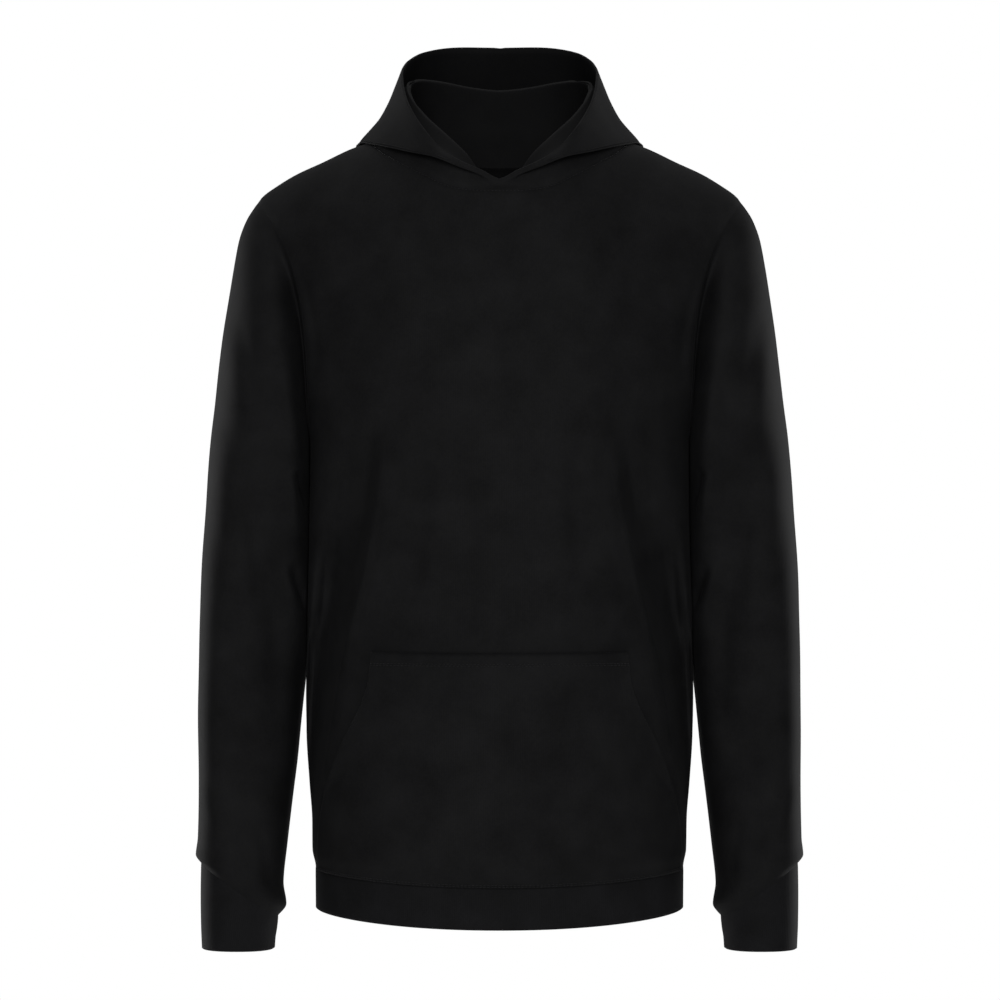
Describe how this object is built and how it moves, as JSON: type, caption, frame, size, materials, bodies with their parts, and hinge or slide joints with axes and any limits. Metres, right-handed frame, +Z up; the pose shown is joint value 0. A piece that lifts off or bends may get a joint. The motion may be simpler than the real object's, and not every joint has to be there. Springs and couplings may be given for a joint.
{
  "type": "pullover hoodie",
  "caption": "Pullover hooded sweatshirt, filled out with no wearer, hood worn down, with a kangaroo pocket, cuffs and a hem band.",
  "frame": {"origin": "in the middle of the neck opening, level with the tops of the shoulder seams", "axes": "+X to the wearer's left, -Y to the front, +Z up"},
  "size_m": [0.543, 0.288, 0.8206],
  "materials": {
    "fleece": "black sweatshirt knit with a soft, slightly brushed face",
    "band": "black doubled knit band, matt"
  },
  "bodies": {
    "root": {"front": "fleece", "back": "fleece", "sleeve_left": "fleece", "sleeve_right": "fleece", "hood_left": "fleece", "hood_right": "fleece", "pocket": "fleece", "cuff_left": "band", "cuff_right": "band", "hem_band": "band"}
  },
  "joints": []
}
